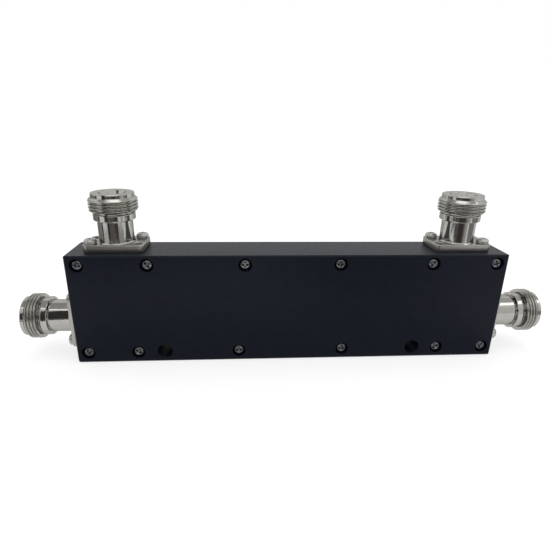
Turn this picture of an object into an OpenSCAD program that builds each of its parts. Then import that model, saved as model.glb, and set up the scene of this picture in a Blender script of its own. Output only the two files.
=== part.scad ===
// Directional coupler: a milled cavity box with four coaxial jacks.
// The box stands on its long bottom edge, the cover faces -Y, and the
// origin is the middle of the footprint.

/* [Box] */
// Length of the box, end face to end face
body_l = 148.8; // [120:0.2:200]
// Height of the box
body_h = 39; // [36:0.5:60]
// Depth of the box with its cover
body_d = 18; // [17:0.5:30]
// Thickness of the front cover
cover_t = 3.2; // [2.6:0.1:4]
// Thickness of the back wall
back_wall = 3; // [2:0.1:4]
// Thickness of the top wall
top_wall = 6.5; // [5:0.1:8]
// Thickness of the two end walls
end_wall = 7; // [5:0.1:9]
// Radius of the two lower corners of the box
bottom_corner_r = 1.2; // [0.5:0.1:2]
// Radius of the two upper corners of the box
top_corner_r = 0.4; // [0.2:0.1:1]
// Cutter radius left in the corners of the cavity
cavity_r = 3; // [1:0.5:5]
// Chamfer along the rear edges
rear_chamfer = 1.2; // [0.4:0.1:1.4]
// Chamfer along the front edges of the cover
edge_break = 0.4; // [0.2:0.1:0.8]

/* [Mounting holes] */
// Diameter of the two holes that go right through
mount_hole_d = 5.2; // [4:0.1:6]
// Distance of the mounting holes from the end faces
mount_inset = 30.1; // [24:0.1:35]
// Metal below the mounting holes
mount_foot = 1.4; // [1.2:0.1:3]
// Metal between the mounting holes and the cavity
mount_roof = 0.9; // [0.6:0.1:2]

/* [Cover screws] */
// Distance of the upper screws from the top edge
row_top_edge = 3.3; // [3.2:0.1:4]
// Distance of the lower screws from the bottom edge
row_bottom_edge = 3.7; // [3.2:0.1:4]
// Distance of the corner screws from the end faces
row_end_edge = 3.8; // [3.2:0.1:4.4]
// Spacing of the inner pair in the upper row
top_inner_spacing = 32.2; // [20:0.1:40]
// Distance of the outer upper screws from the top jacks' axes
port_to_screw = 11.3; // [10.4:0.1:14]
// Spacing of the inner pair in the lower row
bottom_inner_spacing = 37; // [20:0.1:42]
// Distance of the outer lower screws from the mounting holes
mount_to_screw = 9.2; // [6:0.1:12]
// Length of a cover screw inside the housing
cover_grip = 6.8; // [4:0.1:8]
// Head diameter of a cover screw
cover_head_d = 3.8; // [3.4:0.1:4]
// Head height of a cover screw
cover_head_h = 1.5; // [1.2:0.1:1.6]
// Depth of the heads below the face of the cover
head_sink = 0.5; // [0.1:0.1:0.7]
// Radial gap round a head in its counterbore
head_gap = 0.4; // [0.2:0.05:0.6]

/* [All screws] */
// Thread diameter
screw_d = 2; // [1.6:0.1:2]
// Rounding of a head's upper edge
head_r = 0.9; // [0.4:0.1:1.1]
// Length of one stroke of the cross recess
recess_l = 2.2; // [1.6:0.1:2.4]
// Width of one stroke of the cross recess
recess_w = 0.5; // [0.4:0.1:0.7]
// Depth of the cross recess
recess_depth = 0.8; // [0.5:0.1:1]
// Radial gap round a screw in its tapped hole
thread_gap = 0.02; // [0.01:0.01:0.05]
// Radial gap round a screw in a clearance hole
screw_gap = 0.35; // [0.1:0.05:0.4]
// Depth left below a screw in its tapped hole
tap_spare = 0.5; // [0.2:0.1:1]

/* [Jack positions] */
// Distance of the top jacks' axes from the end faces
top_port_inset = 14.9; // [13:0.1:20]
// Height of the end jacks above the bottom edge
end_port_z = 13.8; // [12.5:0.1:16]
// Distance of every jack's axis behind the front face of the cover
port_depth = 10; // [9:0.1:10.4]

/* [Jack flange] */
// Long side of the flange
flange_l = 20; // [19.6:0.1:22]
// Short side of the flange
flange_w = 12.8; // [12.2:0.1:14]
// Thickness of the flange
flange_t = 2.2; // [1.5:0.1:2.5]
// Corner radius of the flange
flange_r = 1.8; // [1:0.1:2.4]
// Hole spacing along the long side
hole_l = 15.4; // [14.8:0.1:15.8]
// Hole spacing along the short side
hole_w = 7.8; // [7.6:0.1:8.4]
// Length of a flange screw inside the wall
flange_grip = 2; // [1.5:0.1:2.2]
// Head diameter of a flange screw
flange_head_d = 4.2; // [3.8:0.1:4.4]
// Head height of a flange screw
flange_head_h = 1.7; // [1.4:0.1:2]
// Thickness of the gasket under the flange
gasket_t = 0.3; // [0.2:0.1:1]
// Inset of the gasket from the flange outline
gasket_inset = 0.2; // [0:0.05:0.4]

/* [Jack shell] */
// Outer diameter of the thread
thread_d = 15.875; // [15:0.005:16.5]
// Length of the thread
thread_l = 4.5; // [4:0.1:6]
// Chamfer at both ends of the thread
thread_chamfer = 0.4; // [0.2:0.05:0.5]
// Diameter of the plain rim in front of the thread
rim_d = 13.9; // [13.2:0.1:14.2]
// Length of the plain rim
rim_l = 1.4; // [1:0.1:2]
// Diameter of the relief groove behind the thread
relief_d = 12.4; // [11.6:0.1:13]
// Length of the relief groove
relief_l = 0.8; // [0.4:0.1:1.2]
// Diameter of the collar
collar_d = 13.6; // [13.2:0.1:14]
// Length of the collar
collar_l = 2.2; // [1.5:0.1:3]
// Edge break of the collar and the rim
collar_chamfer = 0.35; // [0.2:0.05:0.5]
// Diameter of the barrel between collar and flange
barrel_d = 11.5; // [11:0.1:12]
// Length of the barrel
barrel_l = 7.6; // [6:0.1:12]
// Mouth bore of the jack
mouth_d = 8.1; // [7.8:0.05:8.6]
// Depth of the mouth bore
mouth_depth = 9.1; // [8.6:0.1:9.4]
// Bore of the contact shoulder behind the mouth
shoulder_d = 7; // [6.4:0.1:7.4]
// Length of the contact shoulder
shoulder_l = 1.2; // [0.8:0.1:1.6]

/* [Bead and contact] */
// Diameter of the insulating bead
bead_d = 8; // [7.6:0.1:8.4]
// Radial gap round the bead
bead_gap = 0.05; // [0.02:0.01:0.1]
// Outer diameter of the socket contact
socket_d = 3.04; // [2.8:0.02:3.2]
// Depth of the socket's tip below the rim
socket_recess = 4.4; // [4:0.1:4.8]
// Bore of the socket
socket_bore_d = 1.7; // [1.5:0.05:1.9]
// Depth of the socket's bore
socket_bore_depth = 4.6; // [3:0.1:5]
// Width of the slots between the socket's fingers
slot_w = 0.3; // [0.2:0.05:0.4]
// Length of the slots
slot_l = 4; // [2.5:0.1:4.4]
// Diameter of the contact inside the bead
core_d = 2.4; // [2.2:0.1:2.6]
// Diameter of the rear pin
pin_d = 2; // [1.6:0.1:2.2]
// Length of the rear pin inside a line
pin_seat = 3.5; // [2:0.5:5]
// Radial gap round the contact in the bead and the lines
pin_gap = 0.05; // [0.02:0.01:0.1]

/* [Lines] */
// Gap between the cavity wall and the end of a line
line_gap = 1.5; // [1:0.1:2.5]
// Thickness of both lines from front to back
line_t = 4; // [3.4:0.1:5]
// Height of the main line
main_h = 6; // [5:0.1:7]
// Height of the coupled line
coupled_h = 5; // [4:0.1:5.5]
// Width of the coupled line's legs
leg_w = 6; // [5:0.1:7]
// Gap between the lines outside the middle section
outer_gap = 2.4; // [2:0.1:3]
// Gap between the lines in the middle section
middle_gap = 1.5; // [1:0.1:1.9]
// Length of the middle section
middle_l = 42; // [30:1:60]

/* [Line supports] */
// Distance between the two supports
support_spacing = 76; // [66:1:84]
// Thickness of a support along the lines
support_t = 4; // [3:0.1:6]
// Height of a support above the coupled line
support_lip = 2.5; // [1.5:0.1:3]
// Gap round a line in its support
support_gap = 0.05; // [0.02:0.01:0.2]

/* [Hidden] */
$fn = 64;
BLACK = [0.11, 0.115, 0.125];
NICKEL = [0.72, 0.71, 0.68];
STEEL = [0.62, 0.62, 0.62];
RUBBER = [0.07, 0.07, 0.07];
WHITE = [0.95, 0.95, 0.93];
GOLD = [0.83, 0.66, 0.32];
SILVER = [0.8, 0.8, 0.79];
// Cuts run this far past the faces that they open
past = 1;
// Turn of the cross recess from one cover screw of a row to the next
upper_turn = 37;
lower_turn = 58;
front_y = -body_d / 2;
back_y = body_d / 2;
seam_y = front_y + cover_t;
port_y = front_y + port_depth;
cavity_back_y = back_y - back_wall;
mount_x = body_l / 2 - mount_inset;
mount_z = mount_foot + mount_hole_d / 2;
bottom_wall = mount_foot + mount_hole_d + mount_roof;
top_port_x = body_l / 2 - top_port_inset;
cavity_l = body_l - 2 * end_wall;
cavity_h = body_h - bottom_wall - top_wall;
tap_d = screw_d + 2 * thread_gap;
clear_d = screw_d + 2 * screw_gap;
counterbore_d = cover_head_d + 2 * head_gap;
counterbore_depth = cover_head_h + head_sink;
cover_screw_l = cover_t - counterbore_depth + cover_grip;
flange_screw_l = flange_t + gasket_t + flange_grip;
// Heights along a jack's axis, from the face of the box
flange_top = gasket_t + flange_t;
collar_from = flange_top + barrel_l;
relief_from = collar_from + collar_l;
thread_from = relief_from + relief_l;
rim_from = thread_from + thread_l;
rim_top = rim_from + rim_l;
shoulder_top = rim_top - mouth_depth;
bead_top = shoulder_top - shoulder_l;
socket_top = rim_top - socket_recess;
bead_bore_d = bead_d + 2 * bead_gap;
core_bore_d = core_d + 2 * pin_gap;
pin_bore_d = pin_d + 2 * pin_gap;
pin_l = line_gap + pin_seat;
pin_bore_depth = pin_seat + tap_spare;
// Heights of the lines
main_from = end_port_z - main_h / 2;
main_top = end_port_z + main_h / 2;
coupled_from = main_top + outer_gap;
coupled_top = coupled_from + coupled_h;
middle_from = main_top + middle_gap;
leg_top = body_h - top_wall - line_gap;
line_y = port_y - line_t / 2;

// Rectangle with its two lower corners rounded, lower edge on the X axis
module round_foot(l, h, r) {
    translate([-l / 2 + r, 0]) square([l - 2 * r, h]);
    translate([-l / 2, r]) square([l, h - r]);
    for (x = [-l / 2 + r, l / 2 - r])
        translate([x, r]) circle(r);
}

// Rectangle with rounded corners, lower edge on the X axis
module rounded(l, h, low_r, high_r) {
    round_foot(l, h - high_r, low_r);
    translate([0, h]) mirror([0, 1]) round_foot(l, h - low_r, high_r);
}

// Stands a flat outline up in the XZ plane, from y0 back by t
module stand(y0, t) {
    translate([0, y0 + t, 0]) rotate([90, 0, 0]) linear_extrude(t) children();
}

module box_outline() {
    rounded(body_l, body_h, bottom_corner_r, top_corner_r);
}

// Prisms that chamfer the four edges of the box face at y
module edge_cut(y, size) {
    side = size * sqrt(2);
    for (z = [0, body_h])
        translate([0, y, z])
            rotate([45, 0, 0]) cube([body_l + 2 * past, side, side], center = true);
    for (x = [-body_l / 2, body_l / 2])
        translate([x, y, body_h / 2])
            rotate([0, 0, 45]) cube([side, side, body_h + 2 * past], center = true);
}

// Cover screw positions at depth y, with local +Z to the front
module at_cover_screws(y) {
    corner_x = body_l / 2 - row_end_edge;
    upper = [top_inner_spacing / 2, top_port_x - port_to_screw, corner_x];
    lower = [bottom_inner_spacing / 2, mount_x + mount_to_screw, corner_x];
    for (side = [-1, 1], i = [0:2]) {
        translate([side * upper[i], y, body_h - row_top_edge])
            rotate([90, side * upper_turn * i, 0]) children();
        translate([side * lower[i], y, row_bottom_edge])
            rotate([90, side * lower_turn * i, 0]) children();
    }
}

// The two mounting holes, from front to back
module mount_holes() {
    for (side = [-1, 1])
        translate([side * mount_x, back_y + past, mount_z])
            rotate([90, 0, 0]) cylinder(d = mount_hole_d, h = body_d + 2 * past);
}

// Jack positions: local +Z points out of the box, local X along the flange
module at_end(side) {
    translate([side * body_l / 2, port_y, end_port_z])
        rotate([0, side * 90, 0]) children();
}

module at_top(side) {
    translate([side * top_port_x, port_y, body_h]) children();
}

// The two flange corners that carry a screw, on one diagonal
module at_flange_screws(side) {
    for (i = [-1, 1])
        translate([i * hole_l / 2, -side * i * hole_w / 2, 0]) children();
}

// All four holes of a flange
module at_flange_holes() {
    for (x = [-1, 1], y = [-1, 1])
        translate([x * hole_l / 2, y * hole_w / 2, 0]) children();
}

// Hole from the origin down to a depth, open towards +Z
module blind_hole(d, depth) {
    translate([0, 0, -depth]) cylinder(d = d, h = depth + past);
}

// Pan head screw: seat at the origin, head above, shank below
module pan_screw(head_d, head_h, shank_l) {
    r = head_d / 2;
    edge = [for (a = [0:15:90]) [r - head_r * (1 - cos(a)), head_h - head_r * (1 - sin(a))]];
    difference() {
        union() {
            rotate_extrude() polygon(concat([[0, 0], [r, 0]], edge, [[0, head_h]]));
            translate([0, 0, -shank_l]) cylinder(d = screw_d, h = shank_l + head_h / 2);
        }
        for (a = [0, 90])
            translate([0, 0, head_h])
                rotate([0, 0, a]) cube([recess_l, recess_w, 2 * recess_depth], center = true);
    }
}

module housing() {
    color(BLACK) difference() {
        stand(seam_y, body_d - cover_t) box_outline();
        edge_cut(back_y, rear_chamfer);
        translate([0, 0, bottom_wall])
            stand(seam_y - past, cavity_back_y - seam_y + past)
                rounded(cavity_l, cavity_h, cavity_r, cavity_r);
        mount_holes();
        at_cover_screws(seam_y) blind_hole(tap_d, cover_grip + tap_spare);
        for (side = [-1, 1]) {
            at_end(side) port_cut(side, end_wall);
            at_top(side) port_cut(side, top_wall);
        }
    }
}

// Bead bore and tapped holes that a jack needs in a wall
module port_cut(side, wall) {
    blind_hole(bead_bore_d, wall + past);
    at_flange_screws(side) blind_hole(tap_d, flange_grip + tap_spare);
}

module cover() {
    color(BLACK) difference() {
        stand(front_y, cover_t) box_outline();
        edge_cut(front_y, edge_break);
        mount_holes();
        at_cover_screws(front_y) {
            blind_hole(counterbore_d, counterbore_depth);
            blind_hole(clear_d, cover_t + past);
        }
    }
}

module cover_screws() {
    color(STEEL) at_cover_screws(front_y + counterbore_depth)
        pan_screw(cover_head_d, cover_head_h, cover_screw_l);
}

module flange_screws() {
    color(STEEL) for (side = [-1, 1]) {
        at_end(side) flange_screw_pair(side);
        at_top(side) flange_screw_pair(side);
    }
}

module flange_screw_pair(side) {
    at_flange_screws(side) translate([0, 0, flange_top])
        pan_screw(flange_head_d, flange_head_h, flange_screw_l);
}

// Turned shell of a jack with its flange
module port_shell() {
    barrel_r = barrel_d / 2;
    collar_r = collar_d / 2;
    relief_r = relief_d / 2;
    thread_r = thread_d / 2;
    rim_r = rim_d / 2;
    c = collar_chamfer;
    t = thread_chamfer;
    outline = [
        [0, gasket_t], [barrel_r, gasket_t], [barrel_r, collar_from],
        [collar_r - c, collar_from], [collar_r, collar_from + c],
        [collar_r, relief_from - c], [collar_r - c, relief_from],
        [relief_r, relief_from], [relief_r, thread_from],
        [thread_r - t, thread_from], [thread_r, thread_from + t],
        [thread_r, rim_from - t], [thread_r - t, rim_from],
        [rim_r, rim_from], [rim_r, rim_top - c], [rim_r - c, rim_top], [0, rim_top]
    ];
    color(NICKEL) difference() {
        union() {
            translate([0, 0, gasket_t]) flange_plate(flange_t, 0);
            rotate_extrude() polygon(outline);
        }
        translate([0, 0, rim_top]) blind_hole(mouth_d, mouth_depth);
        translate([0, 0, shoulder_top]) blind_hole(shoulder_d, shoulder_l + past);
        cylinder(d = bead_bore_d, h = bead_top);
        translate([0, 0, flange_top]) at_flange_holes() blind_hole(clear_d, flange_t + past);
    }
}

// Flange outline lying flat, smaller all round by inset
module flange_plate(t, inset) {
    l = flange_l - 2 * inset;
    w = flange_w - 2 * inset;
    r = flange_r - inset;
    linear_extrude(t) translate([0, -w / 2]) rounded(l, w, r, r);
}

module port_gasket() {
    color(RUBBER) difference() {
        flange_plate(gasket_t, gasket_inset);
        translate([0, 0, gasket_t]) blind_hole(bead_bore_d, gasket_t + past);
        translate([0, 0, gasket_t]) at_flange_holes() blind_hole(clear_d, gasket_t + past);
    }
}

// Bead that runs from the shoulder of the shell to the inside of the wall
module port_insulator(wall) {
    color(WHITE) difference() {
        translate([0, 0, -wall]) cylinder(d = bead_d, h = wall + bead_top);
        translate([0, 0, bead_top]) blind_hole(core_bore_d, bead_top + wall + past);
    }
}

// Slotted socket in front of the bead, core inside it, pin behind it
module port_contact(wall) {
    pin_tip = -wall - pin_l;
    color(GOLD) difference() {
        union() {
            translate([0, 0, bead_top]) cylinder(d = socket_d, h = socket_top - bead_top);
            translate([0, 0, -wall]) cylinder(d = core_d, h = wall + bead_top + past);
            translate([0, 0, pin_tip]) cylinder(d = pin_d, h = pin_l + past);
        }
        translate([0, 0, socket_top]) {
            blind_hole(socket_bore_d, socket_bore_depth);
            for (a = [0, 90])
                rotate([0, 0, a]) cube([socket_d + past, slot_w, 2 * slot_l], center = true);
        }
    }
}

// Straight bar between the pins of the end jacks
module main_line() {
    main_l = cavity_l - 2 * line_gap;
    color(SILVER) difference() {
        translate([-main_l / 2, line_y, main_from]) cube([main_l, line_t, main_h]);
        for (side = [-1, 1])
            translate([side * main_l / 2, port_y, end_port_z])
                rotate([0, side * 90, 0]) blind_hole(pin_bore_d, pin_bore_depth);
    }
}

// Bar above the main line, closer to it in the middle, with a leg to each top jack
module coupled_line() {
    coupled_l = 2 * top_port_x + leg_w;
    color(SILVER) difference() {
        union() {
            translate([-coupled_l / 2, line_y, coupled_from]) cube([coupled_l, line_t, coupled_h]);
            translate([-middle_l / 2, line_y, middle_from])
                cube([middle_l, line_t, coupled_top - middle_from]);
            for (side = [-1, 1])
                translate([side * top_port_x - leg_w / 2, line_y, coupled_from])
                    cube([leg_w, line_t, leg_top - coupled_from]);
        }
        for (side = [-1, 1])
            translate([side * top_port_x, port_y, leg_top]) blind_hole(pin_bore_d, pin_bore_depth);
    }
}

// Comb between the cavity's back wall and the cover, with a slot for each line
module line_support(side) {
    depth = cavity_back_y - seam_y;
    slot_depth = line_y + line_t + support_gap - seam_y;
    height = coupled_top + support_lip - bottom_wall;
    color(WHITE) translate([side * support_spacing / 2 - support_t / 2, seam_y, 0]) difference() {
        translate([0, 0, bottom_wall]) cube([support_t, depth, height]);
        for (slot = [[main_from, main_h], [coupled_from, coupled_h]])
            translate([-past, -past, slot[0] - support_gap])
                cube([support_t + 2 * past, slot_depth + past, slot[1] + 2 * support_gap]);
    }
}

housing();
cover();
cover_screws();
flange_screws();
at_end(-1) port_shell();  // shell_left
at_end(1) port_shell();  // shell_right
at_top(-1) port_shell();  // shell_top_left
at_top(1) port_shell();  // shell_top_right
at_end(-1) port_gasket();  // gasket_left
at_end(1) port_gasket();  // gasket_right
at_top(-1) port_gasket();  // gasket_top_left
at_top(1) port_gasket();  // gasket_top_right
at_end(-1) port_insulator(end_wall);  // insulator_left
at_end(1) port_insulator(end_wall);  // insulator_right
at_top(-1) port_insulator(top_wall);  // insulator_top_left
at_top(1) port_insulator(top_wall);  // insulator_top_right
at_end(-1) port_contact(end_wall);  // contact_left
at_end(1) port_contact(end_wall);  // contact_right
at_top(-1) port_contact(top_wall);  // contact_top_left
at_top(1) port_contact(top_wall);  // contact_top_right
main_line();
coupled_line();
line_support(-1);  // line_support_left
line_support(1);  // line_support_right
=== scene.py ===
"""Looks of the directional coupler: threaded jacks, screws, finishes, light and camera."""
import math

import bmesh
import bpy
from mathutils import Matrix, Vector
from mathutils.geometry import delaunay_2d_cdt


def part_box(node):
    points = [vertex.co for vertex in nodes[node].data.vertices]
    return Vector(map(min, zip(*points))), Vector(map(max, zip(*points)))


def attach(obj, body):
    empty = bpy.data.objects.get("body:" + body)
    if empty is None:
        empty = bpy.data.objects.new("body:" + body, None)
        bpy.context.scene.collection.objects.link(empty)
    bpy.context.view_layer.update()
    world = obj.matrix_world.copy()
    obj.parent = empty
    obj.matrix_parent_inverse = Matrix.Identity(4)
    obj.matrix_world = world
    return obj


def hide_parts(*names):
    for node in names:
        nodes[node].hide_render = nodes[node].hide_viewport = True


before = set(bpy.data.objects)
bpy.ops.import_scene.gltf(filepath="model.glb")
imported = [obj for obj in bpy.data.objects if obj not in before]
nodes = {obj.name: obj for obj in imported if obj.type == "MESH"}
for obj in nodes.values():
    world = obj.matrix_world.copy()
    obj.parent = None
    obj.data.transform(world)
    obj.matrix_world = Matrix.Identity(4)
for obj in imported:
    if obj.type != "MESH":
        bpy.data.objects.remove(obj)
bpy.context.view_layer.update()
MM = 0.001

# Sizes of the solids, in millimetres, where a piece has to repeat them
GASKET_T, FLANGE_T, FLANGE_L, FLANGE_W, FLANGE_R = 0.3, 2.2, 20.0, 12.8, 1.8
FLANGE_TOP = GASKET_T + FLANGE_T
HOLE_L, HOLE_W, CLEAR_R = 15.4, 7.8, 1.35
BARREL_R, COLLAR_R, RELIEF_R, THREAD_R, RIM_R = 5.75, 6.8, 6.2, 7.9375, 6.95
COLLAR_Z, RELIEF_Z, THREAD_Z, RIM_Z, TOP_Z = 10.1, 12.3, 13.1, 17.6, 19.0
MOUTH_R, SHOULDER_R, BEAD_R = 4.05, 3.5, 4.05
SHOULDER_Z, BEAD_Z = 9.9, 8.7
THREAD_CHAMFER = 0.4
# Cover screws: places along the box, height of each row, turn of the recess from screw to screw
UPPER_X, UPPER_Z, UPPER_TURN = (16.1, 48.2, 70.6), 35.7, 37
LOWER_X, LOWER_Z, LOWER_TURN = (18.5, 53.5, 70.6), 3.7, 58
SEAT_DEPTH = 2.0
# Screws: head diameter, head height, shank length
COVER_SCREW = (3.8, 1.5, 8.0)
FLANGE_SCREW = (4.2, 1.7, 4.5)
SHANK_R, RECESS_L, RECESS_W, RECESS_DEPTH = 1.0, 2.2, 0.5, 0.8

# Fine forms of the jacks, in millimetres
PITCH = 25.4 / 24
THREAD_DEPTH = 0.6134 * PITCH
THREAD_START, START_CHAMFER = 0.5, 0.75
LEAD_IN, LEAD_IN_DEPTH = 0.4, 1.5
FOOT, LOW_FILLET, HIGH_FILLET = 0.3, 0.28, 0.3
PLATE_EDGE_LOW, PLATE_EDGE_HIGH = 0.05, 0.18
# One thread: where the flank meets the crest and how far it runs, as shares of half a pitch
FLANK_TOP, FLANK_RUN = 0.875, 0.70
# Fine forms of the screws, in millimetres; SHANK_TIP is a share of the shank's radius
HEAD_ROUND, HEAD_FOOT, SHANK_TIP, TIP_L = 0.9, 0.1, 0.6, 0.4
RECESS_FLARE, RECESS_CLEAR = 0.12, 0.08
# Walls of the recess: share of the mouth's size, depth under the crown
RECESS_WALLS = ((1.0, 0.2), (0.82, RECESS_DEPTH * 0.5), (0.45, RECESS_DEPTH))
# Head: angles of its rounded edge, and radii of the crown's inner rings for an edge at CROWN_REACH
EDGE_ANGLES = (10, 20, 30)
CROWN_RINGS, CROWN_REACH = (0.5, 0.75, 1.0, 1.2, 1.4, 1.6), 1.78

LATHE_STEPS, THREAD_STEPS, SCREW_STEPS, CROWN_STEPS = 160, 120, 48, 32
SHARP_ANGLE = 32


# Mesh builders, in millimetres until a vertex is made

def vertex(bm, x, y, z):
    return bm.verts.new((x * MM, y * MM, z * MM))


def new_piece(name, bm, material):
    """Object from a finished mesh, smooth but for its sharp edges."""
    mesh = bpy.data.meshes.new(name)
    bmesh.ops.recalc_face_normals(bm, faces=bm.faces)
    bm.to_mesh(mesh)
    bm.free()
    mesh.materials.append(material)
    mesh.shade_smooth()
    mesh.set_sharp_from_angle(angle=math.radians(SHARP_ANGLE))
    piece = bpy.data.objects.new(name, mesh)
    bpy.context.scene.collection.objects.link(piece)
    return piece


def rect_loop(l, w, r, seg=10):
    """Rounded rectangle about the origin, counter-clockwise."""
    points = []
    corners = ((l / 2 - r, w / 2 - r, 0), (-l / 2 + r, w / 2 - r, 90),
               (-l / 2 + r, -w / 2 + r, 180), (l / 2 - r, -w / 2 + r, 270))
    for cx, cy, start in corners:
        for i in range(seg + 1):
            a = math.radians(start + 90 * i / seg)
            points.append((cx + r * math.cos(a), cy + r * math.sin(a)))
    return points


def circle_loop(cx, cy, r, count=40):
    turns = [2 * math.pi * i / count for i in range(count)]
    return [(cx + r * math.cos(a), cy + r * math.sin(a)) for a in turns]


def cross_loop(l, w, seg=5):
    """Cross about the origin: half length l and half width w of its strokes, counter-clockwise."""
    arm = [(w + (l - w) * i / seg, -w) for i in range(seg + 1)]
    arm += [(l - (l - w) * i / seg, w) for i in range(seg)]
    points = []
    for turn in range(4):
        c, s = round(math.cos(turn * math.pi / 2)), round(math.sin(turn * math.pi / 2))
        points += [(c * x - s * y, s * x + c * y) for x, y in arm]
    return points


def skin(bm, rings):
    """Joins each ring of vertices to the next."""
    for a, b in zip(rings[:-1], rings[1:]):
        count = len(a)
        for i in range(count):
            j = (i + 1) % count
            bm.faces.new((a[i], a[j], b[j], b[i]))


def inside(point, loop):
    """True where a point lies inside a closed outline."""
    hit = False
    for a, b in zip(loop, loop[1:] + loop[:1]):
        if (a[1] > point[1]) != (b[1] > point[1]):
            if point[0] < a[0] + (b[0] - a[0]) * (point[1] - a[1]) / (b[1] - a[1]):
                hit = not hit
    return hit


def fill(bm, rings, extra=()):
    """Triangles inside the first ring and outside the others, through the extra vertices too."""
    verts = [v for ring in rings for v in ring] + list(extra)
    points = [v.co.xy / MM for v in verts]
    holes = [[tuple(v.co.xy / MM) for v in ring] for ring in rings[1:]]
    edges = []
    start = 0
    for ring in rings:
        count = len(ring)
        edges += [(start + i, start + (i + 1) % count) for i in range(count)]
        start += count
    _, _, faces, source, _, _ = delaunay_2d_cdt(points, edges, [], 1, 1e-5)
    for face in faces:
        corners = [source[k][0] for k in face]
        middle = sum((points[k] for k in corners), Vector((0, 0))) / len(corners)
        if not any(inside(middle, hole) for hole in holes):
            bm.faces.new([verts[k] for k in corners])


def plate_wall(bm, loop, z0, z1, low, high, seg=3):
    """Edge of a plate, rounded by low and high; loop gives the outline at an inset into it."""
    turns = [math.pi / 2 * i / seg for i in range(seg + 1)]
    steps = [(low * (1 - math.sin(a)), z0 + low * (1 - math.cos(a))) for a in turns]
    steps += [(high * (1 - math.sin(a)), z1 - high * (1 - math.cos(a))) for a in reversed(turns)]
    rings = [[vertex(bm, x, y, z) for x, y in loop(inset)] for inset, z in steps]
    skin(bm, rings)
    return rings[0], rings[-1]


def thread_wave(u):
    """Share of the thread's depth at u pitches: flat crest, rounded flanks, narrow root."""
    u = abs((u % 1.0) - 0.5) * 2
    share = min(1.0, max(0.0, (FLANK_TOP - u) / FLANK_RUN))
    return share * share * (3 - 2 * share)


def lathe(bm, profile, count=LATHE_STEPS):
    """Turned surface. A profile point is (radius, height, depth of the thread there)."""
    rings = []
    for r, z, depth in profile:
        ring = []
        for i in range(count):
            turn = i / count
            cut = r
            if depth:
                cut = min(r, THREAD_R - depth * thread_wave(z / PITCH - turn))
            a = 2 * math.pi * turn
            ring.append(vertex(bm, cut * math.cos(a), cut * math.sin(a), z))
        rings.append(ring)
    skin(bm, rings)
    return rings[0], rings[-1]


def supported(points, gap=0.07):
    """Adds points close to the ends of long straight stretches, so that they shade straight."""
    out = [points[0]]
    for p, q in zip(points[:-1], points[1:]):
        p, q = Vector(p), Vector(q)
        step = (q - p).normalized() * gap
        if (q - p).length > 6 * gap:
            out += [tuple(p + step), tuple(q - step)]
        out.append(tuple(q))
    return out


def fillet(points, r, seg=3, limit=0.45):
    """Rounds each corner of an open profile by r, within limit, a share of each side."""
    out = [points[0]]
    for p, q, s in zip(points[:-2], points[1:-1], points[2:]):
        p, q, s = Vector(p), Vector(q), Vector(s)
        d = min(r, (p - q).length * limit, (s - q).length * limit)
        a, b = q + (p - q).normalized() * d, q + (s - q).normalized() * d
        for i in range(seg + 1):
            t = i / seg
            out.append(tuple(a * (1 - t) ** 2 + q * (2 * t * (1 - t)) + b * t ** 2))
    out.append(points[-1])
    return out


# Materials

# Stretches of the noise: even, rings round a turned piece, lines along a drawn bar
ALL_WAYS = (1, 1, 1)
TURNED = (0.04, 0.04, 1)
DRAWN = (0.03, 1, 1)
# Range of the noise in use, and how much finer the gloss varies than the colour
NOISE_LOW, NOISE_HIGH = 0.3, 0.7
GLOSS_GRAIN = 2.3
# Satin bands: fade at their edges in millimetres, roughness added on flange and thread
SATIN_EDGE, FLANGE_SATIN, THREAD_SATIN = 0.05, 0.25, 0.12


class Nodes:
    """Short hand for a node tree."""

    def __init__(self, tree):
        self.tree = tree
        tree.nodes.clear()

    def add(self, kind, **values):
        node = self.tree.nodes.new("ShaderNode" + kind)
        for key, value in values.items():
            setattr(node, key, value)
        return node

    def link(self, source, target):
        self.tree.links.new(source, target)

    def stretched(self, factors):
        m = self.add("Mapping")
        m.inputs["Scale"].default_value = factors
        self.link(self.add("TexCoord").outputs["Object"], m.inputs["Vector"])
        return m.outputs["Vector"]

    def noise(self, coords, scale, detail=3.0, rough=0.55):
        n = self.add("TexNoise")
        n.inputs["Scale"].default_value = scale
        n.inputs["Detail"].default_value = detail
        n.inputs["Roughness"].default_value = rough
        self.link(coords, n.inputs["Vector"])
        return n.outputs["Fac"]

    def ramp(self, fac, low, high, a=0.0, b=1.0):
        m = self.add("MapRange")
        for key, value in (("From Min", low), ("From Max", high), ("To Min", a), ("To Max", b)):
            m.inputs[key].default_value = value
        self.link(fac, m.inputs["Value"])
        return m.outputs["Result"]

    def colours(self, fac, first, second):
        m = self.add("Mix", data_type="RGBA")
        for socket in m.inputs:
            if socket.type == "RGBA":
                socket.default_value = (*(first if socket.name == "A" else second), 1)
        self.link(fac, m.inputs[0])
        return next(o for o in m.outputs if o.type == "RGBA")

    def math(self, operation, a, b):
        m = self.add("Math", operation=operation)
        self.link(a, m.inputs[0])
        self.link(b, m.inputs[1])
        return m.outputs[0]

    def seen(self):
        """1 for the rays that show the background: straight to the camera, by metal or by glass."""
        path = self.add("LightPath").outputs
        glossy = self.math("MAXIMUM", path["Is Glossy Ray"], path["Is Transmission Ray"])
        return self.math("MAXIMUM", path["Is Camera Ray"], glossy)


def new_material(name):
    mat = bpy.data.materials.new(name)
    mat.use_nodes = True
    return mat, Nodes(mat.node_tree)


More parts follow.
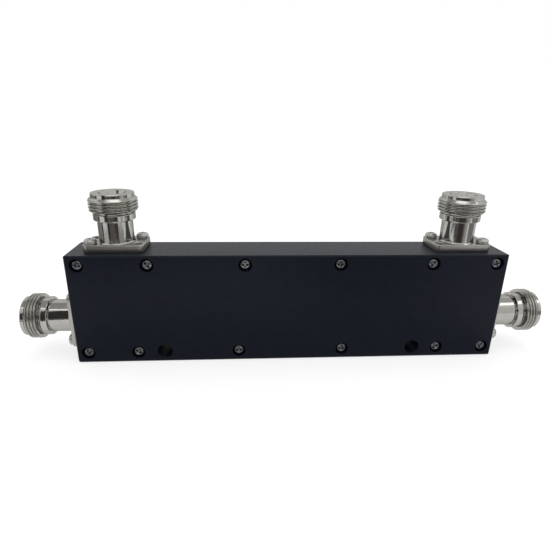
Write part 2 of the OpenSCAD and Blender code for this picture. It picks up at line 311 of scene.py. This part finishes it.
def surface(name, dark, light, metallic, rough, bumps, specular=0.5, edge=0.0, mottling=400.0,
            rim=1.0, satin=()):
    """Principled material with mottled colour, uneven gloss and a stack of fine bumps.

    bumps are (stretch of the coordinates, scale, height in metres), edge is the radius of
    softened edges, rim tints the gloss at grazing angles, and satin are bands of local height
    in millimetres, each with the roughness added there."""
    mat, n = new_material(name)
    out = n.add("OutputMaterial")
    bsdf = n.add("BsdfPrincipled")
    n.link(bsdf.outputs["BSDF"], out.inputs["Surface"])
    bsdf.inputs["Metallic"].default_value = metallic
    bsdf.inputs["Specular IOR Level"].default_value = specular
    bsdf.inputs["Specular Tint"].default_value = (rim, rim, rim, 1)
    plain = n.stretched(ALL_WAYS)
    mottle = n.noise(plain, mottling, 4.0)
    n.link(n.colours(n.ramp(mottle, NOISE_LOW, NOISE_HIGH), dark, light), bsdf.inputs["Base Color"])
    gloss = n.noise(plain, mottling * GLOSS_GRAIN, 5.0, 0.6)
    roughness = n.ramp(gloss, NOISE_LOW, NOISE_HIGH, rough[0], rough[1])
    for low, high, extra in satin:
        split = n.add("SeparateXYZ")
        n.link(plain, split.inputs[0])
        z = split.outputs["Z"]
        rise = n.ramp(z, (low - SATIN_EDGE) * MM, low * MM, 0.0, extra)
        fall = n.ramp(z, high * MM, (high + SATIN_EDGE) * MM, extra, 0.0)
        roughness = n.math("ADD", roughness, n.math("MINIMUM", rise, fall))
    n.link(roughness, bsdf.inputs["Roughness"])
    normal = None
    if edge:
        bevel = n.add("Bevel", samples=6)
        bevel.inputs["Radius"].default_value = edge
        normal = bevel.outputs["Normal"]
    for stretch, scale, height in bumps:
        bump = n.add("Bump")
        bump.inputs["Strength"].default_value = 1.0
        bump.inputs["Distance"].default_value = height
        n.link(n.noise(n.stretched(stretch), scale, 3.0, 0.6), bump.inputs["Height"])
        if normal is not None:
            n.link(normal, bump.inputs["Normal"])
        normal = bump.outputs["Normal"]
    if normal is not None:
        n.link(normal, bsdf.inputs["Normal"])
    return mat


paint = surface("satin_black_paint", (0.0045, 0.0070, 0.0140), (0.0066, 0.0094, 0.0180), 0.0,
                (0.36, 0.46), [(ALL_WAYS, 2600.0, 0.000010), (ALL_WAYS, 600.0, 0.000012)],
                specular=0.14, edge=0.00018)
nickel = surface("bright_nickel", (0.38, 0.37, 0.345), (0.43, 0.42, 0.39), 1.0,
                 (0.07, 0.12), [(TURNED, 9000.0, 0.0000012), (ALL_WAYS, 700.0, 0.000004)], rim=0.6,
                 satin=((0.0, FLANGE_TOP, FLANGE_SATIN),
                        (THREAD_Z, RIM_Z - START_CHAMFER, THREAD_SATIN)))
steel = surface("screw_steel", (0.145, 0.150, 0.155), (0.210, 0.216, 0.220), 1.0,
                (0.18, 0.30), [(ALL_WAYS, 2500.0, 0.000004)], edge=0.00006, mottling=900.0)
plated = surface("plated_screw_steel", (0.38, 0.375, 0.36), (0.46, 0.455, 0.44), 1.0,
                 (0.32, 0.42), [(ALL_WAYS, 2500.0, 0.000004)], edge=0.00006, mottling=900.0)
rubber = surface("seal_rubber", (0.050, 0.050, 0.050), (0.075, 0.075, 0.073), 0.0,
                 (0.65, 0.8), [(ALL_WAYS, 1800.0, 0.00002)], specular=0.3)
ptfe = surface("white_ptfe", (0.80, 0.80, 0.77), (0.87, 0.87, 0.85), 0.0,
               (0.38, 0.5), [(ALL_WAYS, 1500.0, 0.000008)], specular=0.4, edge=0.0001)
gold = surface("gold_contact", (0.72, 0.50, 0.20), (0.80, 0.58, 0.25), 1.0,
               (0.16, 0.26), [(TURNED, 6000.0, 0.000002)], edge=0.00005)
silver = surface("silver_line", (0.74, 0.74, 0.72), (0.83, 0.83, 0.81), 1.0,
                 (0.24, 0.36), [(DRAWN, 4000.0, 0.000003)], edge=0.0002)

FINISHES = {"housing": paint, "cover": paint, "gasket": rubber, "insulator": ptfe,
            "line_support": ptfe, "contact": gold, "main_line": silver, "coupled_line": silver,
            "cover_screws": steel, "flange_screws": plated, "shell": nickel}
for name, node in nodes.items():
    word = max((w for w in FINISHES if name.startswith(w)), key=len)
    node.data.materials.clear()
    node.data.materials.append(FINISHES[word])


# Jacks: flange, turned shell and real thread

def port_places():
    """Each jack's name, side and frame: origin on the box, Z out of it, X along the flange."""
    box_low, box_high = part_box("housing")
    for side, word in ((-1, "left"), (1, "right")):
        low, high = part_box("shell_" + word)
        face_x = box_high.x if side > 0 else box_low.x
        end = Vector((face_x, (low.y + high.y) / 2, (low.z + high.z) / 2))
        yield word, side, Matrix.Translation(end) @ Matrix.Rotation(math.radians(90 * side), 4, "Y")
        low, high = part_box("shell_top_" + word)
        top = Vector(((low.x + high.x) / 2, (low.y + high.y) / 2, box_high.z))
        yield "top_" + word, side, Matrix.Translation(top)


def shell_profile():
    """From the barrel's foot over thread and rim, then down the bore to the flange's underside."""
    crest_low, crest_high = THREAD_R - THREAD_CHAMFER, THREAD_R - START_CHAMFER
    low = fillet([
        (BARREL_R + FOOT, FLANGE_TOP), (BARREL_R, FLANGE_TOP + FOOT), (BARREL_R, COLLAR_Z),
        (COLLAR_R, COLLAR_Z), (COLLAR_R, RELIEF_Z), (RELIEF_R, RELIEF_Z), (RELIEF_R, THREAD_Z),
        (crest_low, THREAD_Z)], LOW_FILLET)
    high = fillet([
        (crest_high, RIM_Z), (RIM_R, RIM_Z), (RIM_R, TOP_Z), (MOUTH_R + LEAD_IN, TOP_Z),
        (MOUTH_R, TOP_Z - LEAD_IN_DEPTH), (MOUTH_R, SHOULDER_Z), (SHOULDER_R, SHOULDER_Z),
        (SHOULDER_R, BEAD_Z), (BEAD_R, BEAD_Z), (BEAD_R, GASKET_T)], HIGH_FILLET)
    profile = [(r, z, 0.0) for r, z in supported(low)]
    for i in range(1, THREAD_STEPS):
        z = THREAD_Z + (RIM_Z - THREAD_Z) * i / THREAD_STEPS
        cap = min(THREAD_R, crest_low + (z - THREAD_Z), crest_high + (RIM_Z - z))
        start = min(1.0, max(0.0, (RIM_Z - THREAD_START - z) / THREAD_START))
        profile.append((cap, z, THREAD_DEPTH * start))
    return profile + [(r, z, 0.0) for r, z in supported(high)]


def jack_mesh():
    """Flange with its four holes and the turned shell, as one closed mesh."""
    bm = bmesh.new()
    loops = [lambda inset: rect_loop(FLANGE_L - 2 * inset, FLANGE_W - 2 * inset, FLANGE_R - inset)]
    for sx in (-1, 1):
        for sy in (-1, 1):
            x, y = sx * HOLE_L / 2, sy * HOLE_W / 2
            loops.append(lambda inset, x=x, y=y: circle_loop(x, y, CLEAR_R + inset))
    edges = [plate_wall(bm, loop, GASKET_T, FLANGE_TOP, PLATE_EDGE_LOW, PLATE_EDGE_HIGH)
             for loop in loops]
    foot, bore = lathe(bm, shell_profile())
    fill(bm, [top for _, top in edges] + [foot])
    fill(bm, [bottom for bottom, _ in edges] + [bore])
    return bm


for word, _, place in port_places():
    piece = new_piece("jack_" + word, jack_mesh(), nickel)
    piece.matrix_world = place
    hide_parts("shell_" + word)
    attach(piece, "root")


# Screws: pan heads with a tapered cross recess

def pan_screw(bm, place, size):
    """Seat of the head on the local XY plane, head above it and shank below."""
    head_d, head_h, shank_l = size
    r = head_d / 2
    first = len(bm.verts)

    def crown(radius):
        """Height of the head's rounded top at a distance from its axis."""
        over = max(0.0, radius - (r - HEAD_ROUND)) / HEAD_ROUND
        return head_h - HEAD_ROUND * (1 - math.sqrt(max(0.0, 1 - over * over)))

    edge = [r - HEAD_ROUND * (1 - math.cos(math.radians(a))) for a in EDGE_ANGLES]
    profile = [(SHANK_R * SHANK_TIP, -shank_l), (SHANK_R, -shank_l + TIP_L), (SHANK_R, 0.0),
               (r - HEAD_FOOT, 0.0), (r, HEAD_FOOT), (r, head_h - HEAD_ROUND)]
    profile += [(e, crown(e)) for e in edge]
    tip, brow = lathe(bm, [(radius, z, 0.0) for radius, z in profile], SCREW_STEPS)
    bm.faces.new(tip)

    half_l, half_w = RECESS_L / 2, RECESS_W / 2
    mouth = cross_loop(half_l + RECESS_FLARE, half_w + RECESS_FLARE)
    rings = [[vertex(bm, x, y, crown(math.hypot(x, y))) for x, y in mouth]]
    for share, depth in RECESS_WALLS:
        loop = cross_loop(half_l * share, half_w * (0.5 + share / 2))
        rings.append([vertex(bm, x, y, head_h - depth) for x, y in loop])
    skin(bm, rings)
    fill(bm, [rings[-1]])

    clear = RECESS_FLARE + RECESS_CLEAR
    kept_free = cross_loop(half_l + clear, half_w + clear)
    grid = []
    for ring in CROWN_RINGS:
        radius = ring * edge[-1] / CROWN_REACH
        for x, y in circle_loop(0, 0, radius, CROWN_STEPS):
            if not inside((x, y), kept_free):
                grid.append(vertex(bm, x, y, crown(radius)))
    fill(bm, [brow, rings[0]], grid)
    bm.verts.ensure_lookup_table()
    bmesh.ops.transform(bm, matrix=place, verts=bm.verts[first:])


def cover_screw_places():
    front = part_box("cover")[0].y / MM
    for xs, z, turn in ((UPPER_X, UPPER_Z, UPPER_TURN), (LOWER_X, LOWER_Z, LOWER_TURN)):
        for side in (-1, 1):
            for i, x in enumerate(xs):
                seat = Matrix.Translation(Vector((side * x, front + SEAT_DEPTH, z)) * MM)
                spin = Matrix.Rotation(math.radians(side * turn * i), 4, "Y")
                yield seat @ spin @ Matrix.Rotation(math.radians(90), 4, "X")


def flange_screw_places():
    """Two holes on a diagonal of each flange."""
    for _, side, place in port_places():
        for i in (-1, 1):
            corner = Vector((i * HOLE_L / 2, -side * i * HOLE_W / 2, FLANGE_TOP)) * MM
            yield place @ Matrix.Translation(corner)


def screw_set(name, node_name, places, size, material):
    """All screws of one CAD node as one piece."""
    bm = bmesh.new()
    for place in places:
        pan_screw(bm, place, size)
    piece = new_piece(name, bm, material)
    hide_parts(node_name)
    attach(piece, "root")


screw_set("cover_screw_set", "cover_screws", cover_screw_places(), COVER_SCREW, steel)
screw_set("flange_screw_set", "flange_screws", flange_screw_places(), FLANGE_SCREW, plated)


# Stage and light, in metres

FLOOR_HALF, FLOOR_DROP, FLOOR_GLOW = 4.0, 0.00005, 0.65
FLOOR_DARK, FLOOR_LIGHT = (0.45, 0.45, 0.45), (0.47, 0.47, 0.47)
WORLD_COLOUR, WORLD_STRENGTH = (0.98, 0.985, 1.0, 1), 0.85
MAT_Z, FRONT_MAT_Z, SCREEN_TOP, TALL_TOP, LAMP_Z, CEILING_Z = 0.0005, 0.0003, 0.05, 0.19, 0.9, 0.95
# Soft card: strength at its edge, and share of the way to its middle where it reaches full strength
SOFT_EDGE, SOFT_FULL = 0.3, 0.6
LAMP_AIM = Vector((0, 0, 0.03))


def stage_floor():
    """Pale floor that meets the white background; the object's shadow stays on it."""
    bm = bmesh.new()
    bmesh.ops.create_grid(bm, x_segments=2, y_segments=2, size=FLOOR_HALF)
    mat, n = new_material("pale_floor")
    out = n.add("OutputMaterial")
    bsdf = n.add("BsdfPrincipled")
    bsdf.inputs["Roughness"].default_value = 0.9
    bsdf.inputs["Specular IOR Level"].default_value = 0.0
    grain = n.noise(n.stretched(ALL_WAYS), 30.0)
    n.link(n.colours(grain, FLOOR_DARK, FLOOR_LIGHT), bsdf.inputs["Base Color"])
    glow = n.add("Emission")
    glow.inputs["Strength"].default_value = FLOOR_GLOW
    both = n.add("AddShader")
    n.link(bsdf.outputs[0], both.inputs[0])
    n.link(glow.outputs[0], both.inputs[1])
    mix = n.add("MixShader")
    n.link(n.seen(), mix.inputs[0])
    n.link(bsdf.outputs[0], mix.inputs[1])
    n.link(both.outputs[0], mix.inputs[2])
    n.link(mix.outputs[0], out.inputs["Surface"])
    floor = new_piece("floor", bm, mat)
    floor.location.z = -FLOOR_DROP


def world_light():
    """White background, and an even soft light of nearly the same colour."""
    world = bpy.data.worlds.new("studio")
    bpy.context.scene.world = world
    world.use_nodes = True
    n = Nodes(world.node_tree)
    out = n.add("OutputWorld")
    lit = n.add("Background")
    lit.inputs["Color"].default_value = WORLD_COLOUR
    lit.inputs["Strength"].default_value = WORLD_STRENGTH
    seen = n.add("Background")
    seen.inputs["Color"].default_value = (1, 1, 1, 1)
    mix = n.add("MixShader")
    n.link(n.seen(), mix.inputs[0])
    n.link(lit.outputs[0], mix.inputs[1])
    n.link(seen.outputs[0], mix.inputs[2])
    n.link(mix.outputs[0], out.inputs["Surface"])


def card(name, tone, corners, soft=None):
    """Studio card that only metal and the paint's gloss mirror. tone is a grey or a colour.

    soft is the middle and the reach of a card that is brightest in its middle."""
    bm = bmesh.new()
    bm.faces.new([bm.verts.new(c) for c in corners])
    mat, n = new_material(name)
    glow = n.add("Emission")
    glow.inputs["Color"].default_value = (*((tone,) * 3 if isinstance(tone, float) else tone), 1)
    if soft:
        (x, y), (reach_x, reach_y) = soft
        place = n.add("Mapping")
        place.inputs["Scale"].default_value = (1 / reach_x, 1 / reach_y, 0)
        place.inputs["Location"].default_value = (-x / reach_x, -y / reach_y, 0)
        n.link(n.add("TexCoord").outputs["Object"], place.inputs["Vector"])
        fall = n.add("TexGradient", gradient_type="SPHERICAL")
        n.link(place.outputs["Vector"], fall.inputs["Vector"])
        n.link(n.ramp(fall.outputs["Fac"], 0.0, SOFT_FULL, SOFT_EDGE, 1.0), glow.inputs["Strength"])
    n.link(glow.outputs[0], n.add("OutputMaterial").inputs["Surface"])
    obj = new_piece(name, bm, mat)
    for kind in ("camera", "diffuse", "transmission", "volume_scatter", "shadow"):
        setattr(obj, "visible_" + kind, False)


def upright(first, second, top=SCREEN_TOP):
    """Corners of an upright card between two places, each (x, y, height of the lower edge)."""
    return first, second, (*second[:2], top), (*first[:2], top)


def level(z, *places):
    """Corners of a level card at a height."""
    return tuple((x, y, z) for x, y in places)


def lamp(name, place, size, power):
    """Rectangular lamp that points at the object."""
    light = bpy.data.lights.new(name, "AREA")
    light.shape = "RECTANGLE"
    light.size, light.size_y = size
    light.energy = power
    obj = bpy.data.objects.new(name, light)
    obj.location = place
    obj.rotation_euler = (LAMP_AIM - Vector(place)).to_track_quat("-Z", "Y").to_euler()
    bpy.context.scene.collection.objects.link(obj)


CARDS = (
    ("left_screen_1", 0.055, upright((-0.142, -0.112, 0.006), (-0.100, -0.098, 0.010), TALL_TOP)),
    ("left_screen_2", (0.175, 0.15, 0.145),
     upright((-0.100, -0.098, 0.006), (-0.045, -0.079, 0.021))),
    ("left_screen_3", 0.08, upright((-0.045, -0.079, 0.021), (-0.019, -0.070, 0.019))),
    ("left_low_strip", (0.34, 0.33, 0.325),
     upright((-0.090, -0.050, 0.018), (-0.057, -0.050, 0.018), 0.0292)),
    ("left_screen_0", 0.055, upright((-0.165, -0.120, 0.016), (-0.142, -0.112, 0.016), TALL_TOP)),
    ("left_floor_mat", 0.055,
     level(MAT_Z, (-0.112, -0.073), (-0.128, -0.165), (-0.175, -0.165), (-0.135, -0.073))),
    ("front_floor_mat", 0.50,
     level(FRONT_MAT_Z, (-0.080, -0.0095), (0.080, -0.0095), (0.080, -0.045), (-0.080, -0.045))),
    ("left_pale", 0.72, upright((-0.180, -0.045, 0.0), (-0.142, -0.112, 0.0), 0.016)),
    ("back_screen", 0.72, upright((-0.13, 0.13, 0.0), (0.13, 0.13, 0.0))),
    ("left_strip", 0.06, upright((-0.190, -0.025, 0.0), (-0.180, -0.045, 0.0))),
    ("left_side", 0.35, upright((-0.190, 0.030, 0.0), (-0.190, -0.025, 0.0))),
    ("left_back_side", 0.35, upright((-0.165, 0.100, 0.0), (-0.190, 0.030, 0.0))),
    ("middle_screen", 0.22, upright((-0.019, -0.070, 0.0385), (0.000, -0.055, 0.0385), 0.06)),
    ("right_screen_1", 0.14, upright((0.000, -0.055, 0.025), (0.025, -0.074, 0.018))),
    ("right_screen_2", (0.075, 0.06, 0.06),
     upright((0.025, -0.074, 0.018), (0.075, -0.111, 0.007))),
    ("right_screen_3", 0.20, upright((0.075, -0.111, 0.007), (0.100, -0.130, 0.003))),
    ("right_screen_4", 0.50, upright((0.100, -0.130, 0.003), (0.130, -0.100, 0.008))),
    ("right_side", 0.32, upright((0.144, -0.085, 0.0), (0.180, 0.006, 0.0), 0.032)),
    ("right_back_screen", 0.88, upright((0.16, -0.2, 0.0), (0.36, -0.2, 0.0), 0.18)),
    ("right_floor_mat", 0.45,
     level(MAT_Z, (-0.005, -0.10), (0.05, -0.19), (0.12, -0.085), (0.03, -0.05))),
    ("ceiling_card", 0.48, level(CEILING_Z, (0, -0.5), (-0.8, -0.5), (-0.8, 0.6), (0, 0.6))),
    ("ceiling_card", 0.68, level(CEILING_Z, (0, -0.5), (0.8, -0.5), (0.8, 0.6), (0, 0.6))),
)

stage_floor()
world_light()
for name, tone, corners in CARDS:
    card(name, tone, corners)
card("overhead_lamp", (2.2, 2.2, 2.15),
     level(LAMP_Z, (-0.40, -0.34), (0.40, -0.34), (0.40, 0.14), (-0.40, 0.14)),
     soft=((0.0, -0.10), (0.40, 0.24)))
lamp("top_softbox", (0.0, 0.05, 1.0), (0.7, 0.5), 1.2)
lamp("lamp_left", (-0.40, -0.32, 0.68), (0.36, 0.07), 0.11)
lamp("lamp_right", (0.47, -0.23, 0.58), (0.40, 0.12), 0.29)

# Camera at the photograph's viewing angle: metres, degrees, and millimetres for sensor and lens
CAMERA_PLACE = (-0.01615127, -0.14600080, 0.08262995)
CAMERA_PAN, CAMERA_TILT, CAMERA_ROLL = 4.1720, -20.1498, 1.0638
CAMERA_SENSOR, CAMERA_LENS, CAMERA_NEAR = 36.0, 28.5865, 0.005
camera_data = bpy.data.cameras.new("photo_camera")
camera_data.sensor_width = CAMERA_SENSOR
camera_data.lens = CAMERA_LENS
camera_data.clip_start = CAMERA_NEAR
camera = bpy.data.objects.new("photo_camera", camera_data)
camera.matrix_world = (Matrix.Translation(CAMERA_PLACE)
                       @ Matrix.Rotation(math.radians(-CAMERA_PAN), 4, "Z")
                       @ Matrix.Rotation(math.radians(90 + CAMERA_TILT), 4, "X")
                       @ Matrix.Rotation(math.radians(CAMERA_ROLL), 4, "Z"))
bpy.context.scene.collection.objects.link(camera)
bpy.context.scene.camera = camera
bpy.context.scene.view_settings.view_transform = "Standard"
